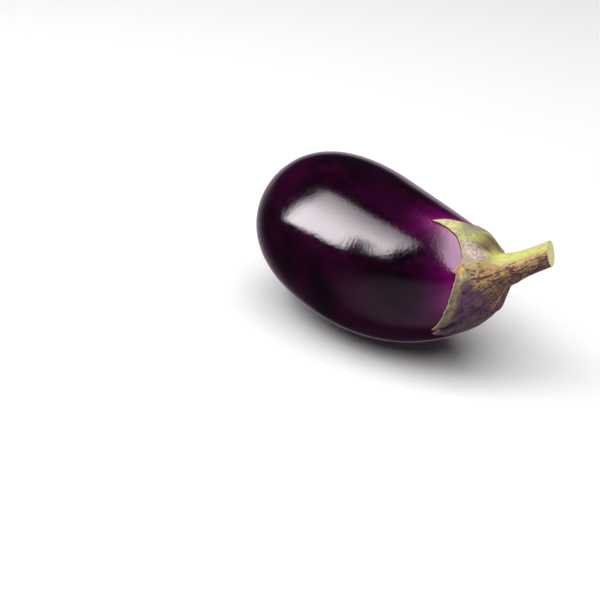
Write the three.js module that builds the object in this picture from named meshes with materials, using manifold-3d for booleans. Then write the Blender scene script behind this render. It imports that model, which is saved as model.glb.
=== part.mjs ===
// An eggplant: a glossy egg-shaped fruit bent at its neck, a lobed calyx that caps its stem end,
// and a short stem cut off aslant. Millimetres, +Z up. The fruit lies along X, stem towards +X,
// on a small flat spot at z = 0, and the origin is under the middle of its bounding box.
import * as THREE from 'three';
import { mergeVertices } from 'three/addons/utils/BufferGeometryUtils.js';
import Module from 'manifold-3d';

// Fruit: stations run along the centreline from the blossom end, radii stand out from it
const fruitLength = 148;
const bellyStation = 59;
const bellyRadius = 41.5;
const bellyHandle = 45;
const blossomFullness = 22;
const shoulderFullness = 24.5;
const blossomScarRadius = 5;
const blossomScarDepth = 1.2;
const restSpotDepth = 0.8;

// Bend of the centreline: the neck turns first, then the stem a little more, both to one side
const bendStation = 63;
const neckTurn = 40;
const stemTurn = 7;
const stemTurnLength = 20;
const bendRise = 62; // degrees from the floor up to the direction of the bend

// Calyx: reaches are measured over the fruit's skin from its stem end
const calyxClearance = 0.3;
const calyxEdge = 1;
const calyxSkin = 1.6;
const shoulderReach = 30;
const sinusReach = 21;
const rimSetback = 5;
const lobeSharpness = 1.5;
const neckRise = 5.5;
const neckRadius = 8;
const flareAtShoulder = 0.55; // how strongly the flare keeps the shoulder's and the neck's direction
const flareAtNeck = 0.35;
const lobes = [
  { at: 35, reach: 43, spread: 30 },
  { at: 93, reach: 26, spread: 14 },
  { at: 157, reach: 44, spread: 56 },
  { at: 226, reach: 40, spread: 34 },
  { at: 281, reach: 33, spread: 26 },
  { at: 333, reach: 43, spread: 32 },
];

// Stem: a spigot stands in the calyx, and the cut slants across the far end
const spigotRadius = 4.2;
const spigotClearance = 0.3;
const stemLength = 26;
const stemEndRadius = 5.9;
const stemFlareLength = 6;
const cutSlant = 18;
const cutSide = 220;

// Mesh fineness
const fruitColumns = 48;
const fruitRows = 40;
const calyxColumns = 72;
const calyxRimRows = 4;
const calyxFlareRows = 8;
const calyxLiningRows = 9;
const stemColumns = 32;
const stemRows = 8;
const mergeDistance = 1e-4;
const restSearchStep = 0.5;

const wasm = await Module();
wasm.setup();

const { degToRad, euclideanModulo, lerp, radToDeg } = THREE.MathUtils;

// Half outline of the fruit as (station, radius), smooth through its widest point
const shoulderHandle = bellyHandle
  * Math.sqrt((bellyRadius - shoulderFullness) / (bellyRadius - blossomFullness));
const outline = new THREE.CurvePath();
outline.add(new THREE.CubicBezierCurve(
  new THREE.Vector2(0, 0),
  new THREE.Vector2(0, blossomFullness),
  new THREE.Vector2(bellyStation - bellyHandle, bellyRadius),
  new THREE.Vector2(bellyStation, bellyRadius),
));
outline.add(new THREE.CubicBezierCurve(
  new THREE.Vector2(bellyStation, bellyRadius),
  new THREE.Vector2(bellyStation + shoulderHandle, bellyRadius),
  new THREE.Vector2(fruitLength, shoulderFullness),
  new THREE.Vector2(fruitLength, 0),
));
const outlineLength = outline.getLength();

// Point of the fruit's outline at a reach from the stem end, lifted off the skin
function overSkin(reach, lift) {
  const t = 1 - reach / outlineLength;
  const tangent = outline.getTangent(t);
  return outline.getPoint(t).add(new THREE.Vector2(-tangent.y, tangent.x).multiplyScalar(lift));
}

// Centreline and heading: straight belly, bent neck, bent stem foot, straight stem
function centreline(station) {
  const legs = [
    { length: bendStation, turn: 0 },
    { length: fruitLength - bendStation, turn: degToRad(neckTurn) },
    { length: stemTurnLength, turn: degToRad(stemTurn) },
    { length: Infinity, turn: 0 },
  ];
  const at = new THREE.Vector2();
  let heading = 0;
  let left = station;
  for (const { length, turn } of legs) {
    const run = Math.min(left, length);
    const swing = turn === 0 ? 0 : turn * run / length;
    const chord = swing === 0 ? run : 2 * run / swing * Math.sin(swing / 2);
    at.x += chord * Math.cos(heading + swing / 2);
    at.y += chord * Math.sin(heading + swing / 2);
    heading += swing;
    left -= run;
    if (left <= 0) {
      break;
    }
  }
  return { at, heading };
}

const bendWay = new THREE.Vector3(0, Math.cos(degToRad(bendRise)), Math.sin(degToRad(bendRise)));
const sideWay = new THREE.Vector3(1, 0, 0).cross(bendWay);

// Place in space of a station and radius, at an angle about the centreline from the bend's side
function place(station, radius, angle) {
  const { at, heading } = centreline(Math.max(station, 0));
  const inBend = radius * Math.cos(angle);
  return new THREE.Vector3(at.x + Math.min(station, 0) - inBend * Math.sin(heading), 0, 0)
    .addScaledVector(bendWay, at.y + inBend * Math.cos(heading))
    .addScaledVector(sideWay, radius * Math.sin(angle));
}

// Closed surface turned about the centreline, where section(angle) gives its (station, radius) points.
// The lathe lays out the rows and columns, and each point then moves to its place along the bend.
function turned(section, columns) {
  const straight = section(0).map((p) => new THREE.Vector2(p.y, p.x));
  const geometry = new THREE.LatheGeometry(straight, columns);
  const position = geometry.getAttribute('position');
  for (let column = 0; column <= columns; column++) {
    const angle = column % columns / columns * 2 * Math.PI;
    section(angle).forEach((p, row, points) => {
      const v = place(p.x, p.y, angle);
      position.setXYZ(column * points.length + row, v.x, v.y, v.z);
    });
  }
  geometry.deleteAttribute('normal');
  geometry.deleteAttribute('uv');
  const merged = mergeVertices(geometry, mergeDistance);
  const index = merged.getIndex().array;
  const kept = [];
  for (let i = 0; i < index.length; i += 3) {
    const [a, b, c] = index.slice(i, i + 3);
    if (a !== b && b !== c && c !== a) {
      kept.push(a, b, c);
    }
  }
  merged.setIndex(kept);
  return merged;
}

// The fruit's half outline, with rows closest at both ends and a small scar sunk in the blossom end
function fruitSection() {
  const points = [];
  for (let row = 0; row <= fruitRows; row++) {
    const share = (1 - Math.cos(Math.PI * row / fruitRows)) / 2;
    const p = overSkin(outlineLength * (1 - share), 0);
    if (p.x < bellyStation) {
      p.x += blossomScarDepth * Math.exp(-((p.y / blossomScarRadius) ** 2));
    }
    if (row === 0 || row === fruitRows) {
      p.y = 0;
    }
    points.push(p);
  }
  return points;
}

// How far the calyx reaches down the fruit at an angle: rounded sinuses between pointed lobes
function calyxReach(angle) {
  let reach = sinusReach;
  for (const lobe of lobes) {
    const turn = euclideanModulo(radToDeg(angle) - lobe.at, 360);
    const off = Math.min(turn, 360 - turn);
    const rise = Math.max(0, 1 - off / lobe.spread) ** lobeSharpness;
    reach = Math.max(reach, lerp(sinusReach, lobe.reach, rise));
  }
  return reach;
}

const socketRadius = spigotRadius + spigotClearance;

// The calyx's section: rim, skin, flare up to the neck, socket for the stem, and lining over the fruit
function calyxSection(angle) {
  const reach = calyxReach(angle);
  const shoulder = Math.min(shoulderReach, reach - rimSetback);
  const neck = new THREE.Vector2(fruitLength + neckRise, neckRadius);
  const points = [];
  for (let row = 0; row <= calyxRimRows; row++) {
    const share = row / calyxRimRows;
    const thickness = lerp(calyxEdge, calyxSkin, share);
    points.push(overSkin(lerp(reach, shoulder, share), calyxClearance + thickness));
  }
  const foot = points.at(-1);
  const slope = outline.getTangent(1 - shoulder / outlineLength);
  const gap = foot.distanceTo(neck);
  const flare = new THREE.CubicBezierCurve(
    foot,
    foot.clone().addScaledVector(slope, gap * flareAtShoulder),
    new THREE.Vector2(neck.x - gap * flareAtNeck, neck.y),
    neck,
  );
  points.push(...flare.getPoints(calyxFlareRows).slice(1));
  points.push(new THREE.Vector2(neck.x, socketRadius));
  for (let row = 0; row <= calyxLiningRows; row++) {
    points.push(overSkin(lerp(socketRadius, reach, row / calyxLiningRows), calyxClearance));
  }
  points.push(points[0].clone());
  return points;
}

// The stem's section: spigot, shelf on the calyx's neck, tapering side, and a cut end that slants
function stemSection(angle) {
  const foot = fruitLength + spigotClearance;
  const shelf = fruitLength + neckRise + spigotClearance;
  const end = fruitLength + stemLength;
  const slant = Math.tan(degToRad(cutSlant)) * Math.cos(angle - degToRad(cutSide));
  const points = [
    new THREE.Vector2(foot, 0),
    new THREE.Vector2(foot, spigotRadius),
    new THREE.Vector2(shelf, spigotRadius),
  ];
  for (let row = 0; row <= stemRows; row++) {
    const share = row / stemRows;
    const run = (end - shelf) * share;
    const radius = lerp(stemEndRadius, neckRadius, Math.exp(-run / stemFlareLength));
    points.push(new THREE.Vector2(shelf + run - slant * radius * share, radius));
  }
  points.push(new THREE.Vector2(end, 0));
  return points;
}

const fruit = turned(fruitSection, fruitColumns);
const calyx = turned(calyxSection, calyxColumns);
const stem = turned(stemSection, stemColumns);
const pieces = [fruit, calyx, stem];

// Centre of mass of the pieces as if all had one density
function massCentre(geometries) {
  const sum = new THREE.Vector3();
  let volume = 0;
  for (const geometry of geometries) {
    const position = geometry.getAttribute('position');
    const index = geometry.getIndex();
    for (let i = 0; i < index.count; i += 3) {
      const corner = (k) => new THREE.Vector3().fromBufferAttribute(position, index.getX(i + k));
      const [a, b, c] = [corner(0), corner(1), corner(2)];
      const part = a.dot(b.clone().cross(c)) / 6;
      volume += part;
      sum.addScaledVector(a.add(b).add(c), part / 4);
    }
  }
  return sum.divideScalar(volume);
}

// The fruit lies on the point of its underside that is nearest to its centre of mass
const centre = massCentre(pieces);
const underside = Math.PI + Math.atan2(Math.cos(degToRad(bendRise)), Math.sin(degToRad(bendRise)));
let restPoint = null;
for (let reach = 0; reach <= outlineLength; reach += restSearchStep) {
  const p = overSkin(reach, 0);
  const v = place(p.x, p.y, underside);
  if (restPoint === null || v.distanceTo(centre) < restPoint.distanceTo(centre)) {
    restPoint = v;
  }
}
const pitch = Math.atan2(restPoint.x - centre.x, centre.z - restPoint.z);
const box = new THREE.Box3();
for (const geometry of pieces) {
  geometry.rotateY(pitch);
  geometry.computeBoundingBox();
  box.union(geometry.boundingBox);
}
const middle = box.getCenter(new THREE.Vector3());
const size = box.getSize(new THREE.Vector3());
for (const geometry of pieces) {
  geometry.translate(-middle.x, -middle.y, -box.min.z - restSpotDepth);
}

function toSolid(geometry) {
  return new wasm.Manifold(new wasm.Mesh({
    numProp: 3,
    vertProperties: Float32Array.from(geometry.getAttribute('position').array),
    triVerts: Uint32Array.from(geometry.getIndex().array),
  }));
}

function toGeometry(solid) {
  const mesh = solid.getMesh();
  const geometry = new THREE.BufferGeometry();
  geometry.setAttribute('position', new THREE.BufferAttribute(mesh.vertProperties, 3));
  geometry.setIndex(Array.from(mesh.triVerts));
  return geometry;
}

// The flat spot: a block under the floor plane takes off what hangs below it
const floor = new THREE.BoxGeometry(2 * size.x, 2 * size.y, size.z).translate(0, 0, -size.z / 2);
floor.deleteAttribute('normal');
floor.deleteAttribute('uv');
const rested = toGeometry(toSolid(fruit).subtract(toSolid(mergeVertices(floor))));

function piece(name, geometry, color, roughness) {
  geometry.computeVertexNormals();
  const mesh = new THREE.Mesh(geometry, new THREE.MeshStandardMaterial({ color, roughness, metalness: 0 }));
  mesh.name = name;
  return mesh;
}

const eggplant = new THREE.Group();
eggplant.name = 'eggplant';
eggplant.add(piece('fruit', rested, 0x2a0a2c, 0.22));
eggplant.add(piece('calyx', calyx, 0x7f8146, 0.6));
eggplant.add(piece('stem', stem, 0x8c8a55, 0.65));

export default eggplant;
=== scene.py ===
"""An eggplant: glossy near-black fruit, mottled calyx and cut stem, on a pale floor under soft boxes."""

import math

import bpy
import numpy as np
from mathutils import Matrix, Vector, geometry, kdtree


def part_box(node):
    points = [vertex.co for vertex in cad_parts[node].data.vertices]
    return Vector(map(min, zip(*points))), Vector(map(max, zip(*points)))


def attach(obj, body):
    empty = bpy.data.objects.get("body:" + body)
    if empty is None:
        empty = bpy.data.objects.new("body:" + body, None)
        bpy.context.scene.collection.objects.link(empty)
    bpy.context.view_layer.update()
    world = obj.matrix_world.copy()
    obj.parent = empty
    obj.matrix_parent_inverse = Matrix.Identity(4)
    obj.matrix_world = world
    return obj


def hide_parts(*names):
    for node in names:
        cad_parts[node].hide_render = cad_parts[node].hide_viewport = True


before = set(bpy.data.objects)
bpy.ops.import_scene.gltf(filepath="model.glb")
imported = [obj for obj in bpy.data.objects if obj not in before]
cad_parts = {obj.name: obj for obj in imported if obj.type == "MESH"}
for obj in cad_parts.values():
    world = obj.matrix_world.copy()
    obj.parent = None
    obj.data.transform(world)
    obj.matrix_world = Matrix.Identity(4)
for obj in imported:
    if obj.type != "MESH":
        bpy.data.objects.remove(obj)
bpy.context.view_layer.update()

# ---------------------------------------------------------------- driving dimensions, in millimetres

MM = 0.001

# Fruit: stations run along the centreline from the blossom end, radii stand out from it
FRUIT_LENGTH = 148.0
BELLY_STATION = 59.0
BELLY_RADIUS = 41.5
BELLY_HANDLE = 45.0
BLOSSOM_FULLNESS = 22.0
SHOULDER_FULLNESS = 24.5
SCAR_RADIUS = 5.0
SCAR_DEPTH = 1.2
UNDULATION = 0.05
UNDULATION_SIZE = 34.0
RIPPLE_SIZE = 13.0
# Magenta beside the calyx is the skin's own colour; towards GLOW_SIDE, the lit side, it is made stronger as
# painted light
GLOW_REACH = 11.0
GLOW_LEAST = 0.25
GLOW_SIDE = math.radians(65)
SUNNY_SIDE = math.radians(30)

# Bend of the centreline, and how the fruit lies
BEND_STATION = 63.0
NECK_TURN = 40.0
STEM_TURN = 7.0
STEM_TURN_LENGTH = 20.0
BEND_RISE = 62.0
PITCH = 6.76

# Calyx: reaches are measured over the fruit's skin from its stem end, angles in degrees
# from the side that the neck bends to
CALYX_GAP = 0.12
CALYX_EDGE = 0.2
RIM_THICKNESS = 0.6
CALYX_SKIN = 1.6
EDGE_ROUND = 0.5
THICKEN_OVER = 4.0
THINNEST = 0.25
RELIEF_FADE = 1.2
RIM_LIFT = 0.3
RIM_LIFT_WIDTH = 1.3
RIM_LIFT_VARIES = 0.4
RIM_LIFT_SIZE = 9.0
RIM_WAVER = 0.22
RIM_WAVER_SIZE = 3.5
SHOULDER_REACH = 27.0
SINUS_SHOULDER = 16.0
NECK_RISE = 5.5
NECK_RADIUS = 8.0
FLARE_AT_SHOULDER = 0.5
FLARE_BENEATH = 0.28
FLARE_AT_NECK = 0.45
NECK_REACH = 8.0
# Each lobe runs from the sinus before it out to its tip and back: rise and fall are the handles of
# those two curves. Swell is how far out the calyx starts to flare there: 1 is the full shoulder reach
LOBES = (
    {"sinus": (9, 28.2), "rise": ((12, 32.0), (26, 38.0)), "tip": (38.5, 45.3),
     "fall": ((37.5, 37), (36, 26)), "swell": 1},
    {"sinus": (70, 23.5), "rise": ((82, 22.9), (88, 24.5)), "tip": (94, 27.8),
     "fall": ((95, 26.7), (96.5, 26.2)), "swell": 0.25},
    {"sinus": (98, 26.1), "rise": ((115, 28.4), (144, 34.8)), "tip": (155.5, 45),
     "fall": ((156.5, 44.2), (158, 42.6)), "swell": 1},
    {"sinus": (158.8, 42.4), "rise": ((159.6, 42.6), (161, 45)), "tip": (162, 45.8),
     "fall": ((172, 45.2), (190, 34)), "swell": 1},
    {"sinus": (204, 24), "rise": ((214, 24), (228, 33)), "tip": (226, 40),
     "fall": ((231, 32), (238, 23)), "swell": 1},
    {"sinus": (257, 23), "rise": ((271, 23), (277, 28.5)), "tip": (281, 33),
     "fall": ((281, 29), (288, 24)), "swell": 1},
    {"sinus": (304, 24), "rise": ((321, 24), (327, 34.5)), "tip": (333, 43),
     "fall": ((333, 35.5), (343, 27.5)), "swell": 1},
)
# A sinus further out than this is only a nick in a lobe's rim
NICK_REACH = 35
# Lines of (angle, reach) stops on the calyx
FRONT_CREST = ((128, 25), (134, 28.5), (139, 31.5), (145, 35), (148, 38), (152, 41.5), (155.5, 45))
LOW_RIDGE = ((168, 27), (164, 33), (162.7, 38), (162.3, 42), (162.2, 45.5))
TIP_HOLLOW = ((156, 32), (157.5, 36), (158.6, 40), (159, 47))
# Ridges (height over 0) and furrows (below 0) of the calyx
FOLDS = (
    {"line": FRONT_CREST, "height": 0.75, "width": 1.1},
    {"line": LOW_RIDGE, "height": 0.7, "width": 1.2},
    {"line": TIP_HOLLOW, "height": -2.0, "width": 1.7},
    {"line": ((30, 14), (26, 24), (26, 34), (34, 41)), "height": 0.4, "width": 3.0},
    {"line": ((228, 14), (228, 28), (226, 38)), "height": 0.55, "width": 2.6},
    {"line": ((279, 13), (279, 24), (281, 31)), "height": 0.5, "width": 2.4},
    {"line": ((328, 14), (330, 30), (333, 41)), "height": 0.55, "width": 2.6},
    {"line": ((206, 12), (205, 18), (204, 24)), "height": -0.7, "width": 2.4},
    {"line": ((255, 12), (256, 18), (257, 23)), "height": -0.7, "width": 2.4},
    {"line": ((306, 12), (305, 18), (304, 24)), "height": -0.7, "width": 2.4},
    {"line": ((2, 13), (4, 20), (6, 27)), "height": -0.5, "width": 2.6},
    {"line": ((44, 14), (48, 16), (62, 14)), "height": 1.3, "width": 4.5},
    {"line": ((30, 14), (10, 17), (350, 18)), "height": 0.9, "width": 4.0},
    {"line": ((60, 10), (20, 10.5), (340, 10.5), (310, 10)), "height": -1.0, "width": 2.2},
    {"line": ((120, 10), (150, 11), (190, 11), (220, 10)), "height": -0.9, "width": 2.6},
)
# The upper lobe laps over the tooth below it along this step
TOOTH_STEP = ((72, 24.4), (83, 23.2), (91, 21.6), (97, 20.7), (108, 20.0))
TOOTH_DROP = 1.0
TOOTH_DROP_WIDTH = 0.7
TOOTH_REACH = 6.0
# Lengthwise ribs of the calyx: how far stretched, how wide and how high, and the noise's seed
CALYX_RIBS = ((0.2, 3.2, 0.10, 8), (0.5, 7.0, 0.15, 9))

# Where the calyx's colours lie. Turns are in degrees, the rest in millimetres. Two numbers run from
# none to full, and four run from none to full and from full to none
# Lilac lies on the lit top of the upper lobe's bulge: its tint is the calyx's own, its paleness a painted
# highlight
PATCHES = {
    "lilac_highlight": {"line": ((52, 20), (66, 18.5), (71, 15.5)), "width": 3.6},
    "lime": {"line": ((46, 25), (40, 23.2), (30, 22.5)), "width": 2.6},
    # Shade is painted shade on the back of the upper lobe, behind its bulge
    "shade": {"line": ((42, 17.5), (30, 17), (12, 15.5), (352, 14.5)), "width": 4.5},
}
SPIKE_REACH = (28, 33)
SPIKE_TURN = (10, 18, 40, 50)
PALE_EDGE = (0.6, 0.1)
PALE_EDGE_SHARE = 0.6
TAN_REACH = (28.5, 13)
STRIP_EDGE = (5.6, 1.8)
STRIP_TURN = (98, 104, 152, 164)
FAR_STRIP_EDGE = (5.0, 2.0)
FAR_STRIP_TURN = (185, 200)
RIDGE_STRIP_WIDTH = 1.3
HOLLOW_WIDTH = 1.5

# Stem
STEM_LENGTH = 26.0
STEM_END_RADIUS = 5.9
STEM_FLARE_LENGTH = 6.0
NECK_LEAN = 1.2
NECK_SLOPE_SHARE = 0.5
NECK_LEAN_SIDE = math.radians(10)
CUT_SLANT = 18.0
CUT_SIDE = 220.0
CUT_DISH = 0.35
STEM_RIBS = 0.22
STEM_RIBS_SIZE = 6.0
STEM_RIBS_STRETCH = 0.2
STEM_RIBS_START = 0.12
SPIGOT_RADIUS = 4.2
SPIGOT_FOOT = 0.4
FAR_FROM_RIM = 20

# Radius of the cylinder that the lengthwise patterns are drawn on
GRAIN_RADIUS = 14.0

# Noises: waves in each, the spread of their lengths, and seeds
NOISE_WAVES = 12
WAVE_SPREAD = (0.6, 1.5)
SEEDS = {"rim_x": 3, "rim_y": 4, "rim_lift": 5, "stem_ribs": 9, "undulation": 11, "ripple": 12}

# Mesh fineness
FRUIT_COLUMNS = 320
FRUIT_ROWS = 240
OUTLINE_STEPS = 800
RIM_STEPS = 70
CALYX_STEP = 0.55
RIM_FINENESS = 0.7
CLEAR_OF_NECK = 0.6
CLEAR_OF_RIM = 0.45
WELD = 1e-6
SLOPE_STEP = 0.05
NECK_COLUMNS = 144
STEM_ROWS = 60
CUT_INSETS = (0.97, 0.85, 0.7, 0.5, 0.3, 0.12)

# ---------------------------------------------------------------- shape of the growth


def bezier(points, t):
    """Points at the shares t along a cubic curve, from its two ends and the two handles between."""
    a, b, c, d = (np.asarray(p, float) for p in points)
    t = np.asarray(t, float)[..., None]
    return (1 - t) ** 3 * a + 3 * (1 - t) ** 2 * t * b + 3 * (1 - t) * t**2 * c + t**3 * d


def fruit_outline():
    """The fruit's half outline as (station, radius) points, its lengths so far, and its directions."""
    handle = BELLY_HANDLE * math.sqrt((BELLY_RADIUS - SHOULDER_FULLNESS) / (BELLY_RADIUS - BLOSSOM_FULLNESS))
    t = np.linspace(0, 1, OUTLINE_STEPS)
    belly = (BELLY_STATION, BELLY_RADIUS)
    first = bezier(((0, 0), (0, BLOSSOM_FULLNESS), (BELLY_STATION - BELLY_HANDLE, BELLY_RADIUS), belly), t)
    second = bezier((belly, (BELLY_STATION + handle, BELLY_RADIUS), (FRUIT_LENGTH, SHOULDER_FULLNESS),
                     (FRUIT_LENGTH, 0)), t)
    points = np.vstack([first, second[1:]])
    lengths = np.concatenate([[0], np.cumsum(np.linalg.norm(np.diff(points, axis=0), axis=1))])
    directions = np.gradient(points, axis=0) / np.gradient(lengths)[:, None]
    return points, lengths, directions / np.linalg.norm(directions, axis=1)[:, None]


OUTLINE, OUTLINE_AT, OUTLINE_WAY = fruit_outline()
OUTLINE_LENGTH = OUTLINE_AT[-1]


def along(values, reach):
    """Values of the outline at a reach from the stem end."""
    at = OUTLINE_LENGTH - np.asarray(reach, float)
    return np.stack([np.interp(at, OUTLINE_AT, values[:, k]) for k in (0, 1)], -1)


def over_skin(reach, lift):
    """(station, radius) at a reach over the fruit's skin, lifted off it."""
    way = along(OUTLINE_WAY, reach)
    out = np.stack([-way[..., 1], way[..., 0]], -1)
    return along(OUTLINE, reach) + out * np.asarray(lift, float)[..., None]


def arc(run, turn, length):
    """End of a circular arc after a run along it, and its heading there."""
    bend = math.radians(turn) / length
    return np.sin(bend * run) / bend, (1 - np.cos(bend * run)) / bend, bend * run


def centreline(station):
    """Place and heading of the centreline: straight belly, bent neck, bent stem foot, straight stem."""
    neck = np.clip(station - BEND_STATION, 0, FRUIT_LENGTH - BEND_STATION)
    foot = np.clip(station - FRUIT_LENGTH, 0, STEM_TURN_LENGTH)
    rest = np.clip(station - FRUIT_LENGTH - STEM_TURN_LENGTH, 0, None)
    x, y, heading = arc(neck, NECK_TURN, FRUIT_LENGTH - BEND_STATION)
    x = x + np.minimum(station, BEND_STATION)
    u, w, turned = arc(foot, STEM_TURN, STEM_TURN_LENGTH)
    ahead, aside = np.cos(heading), np.sin(heading)
    x, y = x + u * ahead - w * aside, y + u * aside + w * ahead
    heading = heading + turned
    return x + rest * np.cos(heading), y + rest * np.sin(heading), heading


def grow(station, radius, angle):
    """Points in space at a station, radius and angle (radians) from the bend's side, not yet set down."""
    x, y, heading = centreline(np.asarray(station, float))
    towards, across = radius * np.cos(angle), radius * np.sin(angle)
    x, inward = x - towards * np.sin(heading), y + towards * np.cos(heading)
    rise = math.radians(BEND_RISE)
    y = inward * math.cos(rise) - across * math.sin(rise)
    z = inward * math.sin(rise) + across * math.cos(rise)
    dip = math.radians(PITCH)
    return np.stack([x * math.cos(dip) + z * math.sin(dip), y, z * math.cos(dip) - x * math.sin(dip)], -1)


def fruit_rows():
    """Reaches of the fruit's rows, closest at both ends."""
    share = (1 - np.cos(np.linspace(0, math.pi, FRUIT_ROWS + 1))) / 2
    return OUTLINE_LENGTH * (1 - share)


def angles(count):
    return np.arange(count) / count * 2 * math.pi


def setting_down():
    """Shift that brings the grown fruit onto the CAD fruit, in metres."""
    p = over_skin(fruit_rows(), np.zeros(FRUIT_ROWS + 1))
    grown = grow(p[:, :1], p[:, 1:], angles(FRUIT_COLUMNS)[None]) * MM
    low, high = (np.array(c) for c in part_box("fruit"))
    least, most = grown.reshape(-1, 3).min(0), grown.reshape(-1, 3).max(0)
    middle = (least + most) / 2
    return np.array([low[0] - least[0], (low[1] + high[1]) / 2 - middle[1], high[2] - most[2]])


SHIFT = setting_down()


def place(station, radius, angle):
    """Points in the row frame, in metres."""
    return grow(station, radius, angle) * MM + SHIFT


# ---------------------------------------------------------------- meshes


def make_mesh(name, points, faces, attributes, sharp_loops=()):
    """Closed smooth mesh object with attributes on its points, and sharp edges along loops of points."""
    mesh = bpy.data.meshes.new(name)
    mesh.from_pydata([tuple(p) for p in points], [], faces)
    mesh.validate()
    for key, values in attributes.items():
        values = np.asarray(values, np.float32)
        kind, field = ("FLOAT", "value") if values.ndim == 1 else ("FLOAT_VECTOR", "vector")
        mesh.attributes.new(key, kind, "POINT").data.foreach_set(field, values.ravel())
    mesh.shade_smooth()
    ring = set().union(*sharp_loops) if sharp_loops else set()
    if ring:
        sharp = mesh.attributes.new("sharp_edge", "BOOLEAN", "EDGE")
        sharp.data.foreach_set("value", [e.vertices[0] in ring and e.vertices[1] in ring for e in mesh.edges])
    obj = bpy.data.objects.new(name, mesh)
    bpy.context.scene.collection.objects.link(obj)
    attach(obj, "root")
    return obj


def tube_faces(rows, columns):
    """Quads of a grid that closes round its columns."""
    r, c = np.meshgrid(np.arange(rows - 1), np.arange(columns), indexing="ij")
    n = (c + 1) % columns
    quads = np.stack([r * columns + c, r * columns + n, (r + 1) * columns + n, (r + 1) * columns + c], -1)
    return quads.reshape(-1, 4).tolist()


def cap_faces(centre, ring, reverse):
    """Fan from a centre point to a ring of points."""
    pairs = zip(ring, np.roll(ring, -1))
    return [(centre, b, a) if reverse else (centre, a, b) for a, b in pairs]


def soft_noise(points, size, seed):
    """Smooth noise from -1 to 1, as a few sums of sines with fixed directions."""
    rng = np.random.default_rng(seed)
    total = np.zeros(points.shape[:-1])
    for _ in range(NOISE_WAVES):
        way = rng.normal(size=3)
        way = way / np.linalg.norm(way) * rng.uniform(*WAVE_SPREAD) * 2 * math.pi / size
        total = total + np.sin(points @ way + rng.uniform(0, 2 * math.pi))
    return total / math.sqrt(2 * NOISE_WAVES)


def tree_of(points):
    """Search tree of points in space."""
    tree = kdtree.KDTree(len(points))
    for i, point in enumerate(points):
        tree.insert(Vector(point), i)
    tree.balance()
    return tree


# ---------------------------------------------------------------- calyx outline


def rim_curve():
    """The calyx's rim as closed (angle, reach) points, angles in radians."""
    share = np.linspace(0, 1, RIM_STEPS)
    points = []
    for i, lobe in enumerate(LOBES):
        ahead = LOBES[(i + 1) % len(LOBES)]["sinus"]
        ahead = (ahead[0] + (360 if ahead[0] < lobe["tip"][0] else 0), ahead[1])
        points.append(bezier((lobe["sinus"], *lobe["rise"], lobe["tip"]), share)[:-1])
        points.append(bezier((lobe["tip"], *lobe["fall"], ahead), share)[:-1])
    rim = np.vstack(points)
    rim[:, 0] = np.radians(rim[:, 0])
    return rim


def resample(loop, step):
    """Closed polyline with points a step apart, its corners kept by the fine source points."""
    closed = np.vstack([loop, loop[:1]])
    at = np.concatenate([[0], np.cumsum(np.linalg.norm(np.diff(closed, axis=0), axis=1))])
    wanted = np.linspace(0, at[-1], int(at[-1] / step) + 1)[:-1]
    return np.stack([np.interp(wanted, at, closed[:, k]) for k in (0, 1)], -1)


def flat_pattern(angle, reach):
    """Flat points of the calyx: the reach is their distance from the middle."""
    return np.stack([reach * np.cos(angle), reach * np.sin(angle)], -1)


def inside(points, loop):
    """Which points lie inside a closed loop."""
    hit = np.zeros(len(points), bool)
    for a, b in zip(loop, np.roll(loop, -1, 0)):
        crosses = (a[1] > points[:, 1]) != (b[1] > points[:, 1])
        rise = b[1] - a[1] if b[1] != a[1] else 1e-12
        hit ^= crosses & (points[:, 0] < (b[0] - a[0]) * (points[:, 1] - a[1]) / rise + a[0])
    return hit


def in_space(flat):
    """Flat points with a height of 0."""
    return np.column_stack([flat, np.zeros(len(flat))])


def waver(flat):
    """Flat points moved a little, so that the rim is not drawn with a ruler."""
    moves = [soft_noise(in_space(flat), RIM_WAVER_SIZE, SEEDS[key]) for key in ("rim_x", "rim_y")]
    return flat + RIM_WAVER * np.stack(moves, -1)


RIM_FLAT = waver(resample(flat_pattern(*rim_curve().T), CALYX_STEP * RIM_FINENESS))
RIM_REACH = np.linalg.norm(RIM_FLAT, axis=1)
RIM_ANGLE = np.arctan2(RIM_FLAT[:, 1], RIM_FLAT[:, 0])
RIM_ON_SKIN = over_skin(RIM_REACH, np.zeros(len(RIM_FLAT)))
RIM_TREE = tree_of(place(RIM_ON_SKIN[:, 0], RIM_ON_SKIN[:, 1], RIM_ANGLE))


def rim_distance(points):
    """Distance of each point from the calyx's rim, in millimetres."""
    return np.array([RIM_TREE.find(Vector(p))[2] for p in points]) / MM


def beside(flat, line):
    """Signed distance of flat points from a line of (angle, reach) stops, and how far along it they lie."""
    turns, reaches = np.array(line, float).T
    stops = flat_pattern(np.radians(turns), reaches)
    lengths = np.linalg.norm(np.diff(stops, axis=0), axis=1)
    off, share = np.full(len(flat), np.inf), np.zeros(len(flat))
    for i, (a, b) in enumerate(zip(stops, stops[1:])):
        way = (b - a) / lengths[i]
        t = np.clip((flat - a) @ way, 0, lengths[i])
        away = np.linalg.norm(flat - a - t[:, None] * way, axis=1)
        side = np.sign(way[0] * (flat[:, 1] - a[1]) - way[1] * (flat[:, 0] - a[0]))
        closer = away < np.abs(off)
        off = np.where(closer, away * side, off)
        share = np.where(closer, (lengths[:i].sum() + t) / lengths.sum(), share)
    return off, share


def smooth(values, low, high):
    """Smooth step from 0 at low to 1 at high."""
    t = np.clip((np.asarray(values, float) - low) / (high - low), 0, 1)
    return t * t * (3 - 2 * t)


def between(values, start, full, ebb, end):
    """1 from full to ebb, and smoothly down to 0 at start and at end."""
    return smooth(values, start, full) * smooth(values, end, ebb)


def polar(flat):
    """Reach and angle of flat points."""
    return np.linalg.norm(flat, axis=1), np.arctan2(flat[:, 1], flat[:, 0])


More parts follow.
